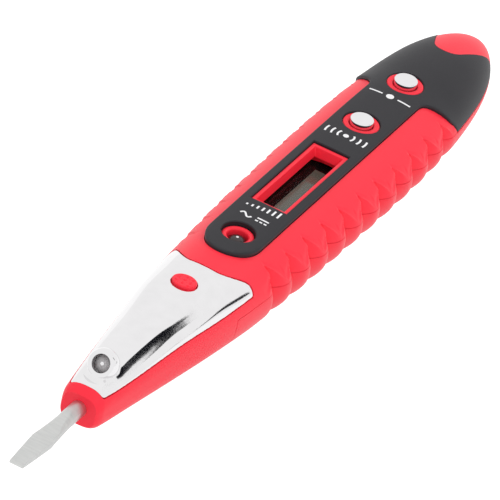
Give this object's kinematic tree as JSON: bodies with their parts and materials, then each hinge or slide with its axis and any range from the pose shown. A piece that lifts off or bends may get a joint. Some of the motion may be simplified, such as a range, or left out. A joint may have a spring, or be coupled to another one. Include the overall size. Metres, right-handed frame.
{
  "type": "voltage tester pen",
  "caption": "Pocket voltage tester pen with a flat screwdriver probe, plated nose cover with a torch, black display panel, two touch buttons and grooved grips, lying on its back",
  "frame": {"origin": "centre of the bounding box's base: the middle of the length and width, on the plane of the flat back", "axes": "+X runs along the pen from the blade tip to the tail, +Z points out of the display panel, +Y is to the left when looking from the blade towards the tail with the panel up"},
  "size_m": [0.1428, 0.0192, 0.0156],
  "materials": {
    "red_plastic": "satin moulded ABS",
    "door_plastic": "satin moulded ABS",
    "panel_plastic": "satin moulded ABS",
    "plated_plastic": "chrome plated ABS",
    "blade_steel": "ground and nickel plated",
    "spring_steel": "drawn wire",
    "screw_steel": "zinc plated",
    "resistor_body": "lacquered",
    "torch_lens": "clear moulded epoxy",
    "indicator_lens": "dark tinted epoxy",
    "board_laminate": "solder mask",
    "switch_body": "moulded nylon",
    "switch_stem": "moulded nylon",
    "torch_button_plastic": "satin moulded ABS",
    "display_window": "polished clear acrylic",
    "display_glass": "polarised glass",
    "connector_rubber": "striped silicone",
    "cap_metal": "polished nickel plate",
    "gold_plate": "immersion gold",
    "chip_body": "moulded epoxy",
    "chip_ceramic": "fired ceramic",
    "cell_steel": "nickel plated can",
    "contact_brass": "nickel plated strip"
  },
  "bodies": {
    "pen": {"upper_housing": "red_plastic", "back_cover": "red_plastic", "face_panel": "panel_plastic", "nose_cover": "plated_plastic", "probe_blade": "blade_steel", "probe_spring": "spring_steel", "series_resistor": "resistor_body", "torch_led": "torch_lens", "torch_board": "board_laminate", "torch_switch": "switch_body", "lcd_window": "display_window", "lcd_glass": "display_glass", "lcd_connectors": "connector_rubber", "main_board": "board_laminate", "indicator_led": "indicator_lens", "direct_spring": "spring_steel", "induction_spring": "spring_steel", "contact_pads": "gold_plate", "driver_chip": "chip_body", "board_parts": "chip_ceramic", "battery_cell_1": "cell_steel", "battery_cell_2": "cell_steel", "battery_cell_3": "cell_steel", "cell_contacts": "contact_brass", "housing_screws": "screw_steel"},
    "direct_button": {"direct_button": "cap_metal"},
    "induction_button": {"induction_button": "cap_metal"},
    "torch_button": {"torch_button": "torch_button_plastic", "torch_switch_stem": "switch_stem"},
    "battery_door": {"battery_door": "door_plastic", "door_screw": "screw_steel", "door_contact": "contact_brass"}
  },
  "joints": [
    {"name": "direct_press", "type": "slide", "parent": "pen", "child": "direct_button", "axis": [0, 0, -1], "range_m": [0, 0.0005], "stiffness_N_per_m": 800, "springref_m": -0.0003, "deforming": ["direct_spring"]},
    {"name": "induction_press", "type": "slide", "parent": "pen", "child": "induction_button", "axis": [0, 0, -1], "range_m": [0, 0.0005], "stiffness_N_per_m": 800, "springref_m": -0.0003, "deforming": ["induction_spring"]},
    {"name": "torch_press", "type": "slide", "parent": "pen", "child": "torch_button", "axis": [0, 0, -1], "range_m": [0, 0.0005], "stiffness_N_per_m": 800, "springref_m": -0.0003},
    {"name": "door_lift", "type": "slide", "parent": "pen", "child": "battery_door", "axis": [0, 0, -1], "range_m": [0, 0.01]}
  ]
}
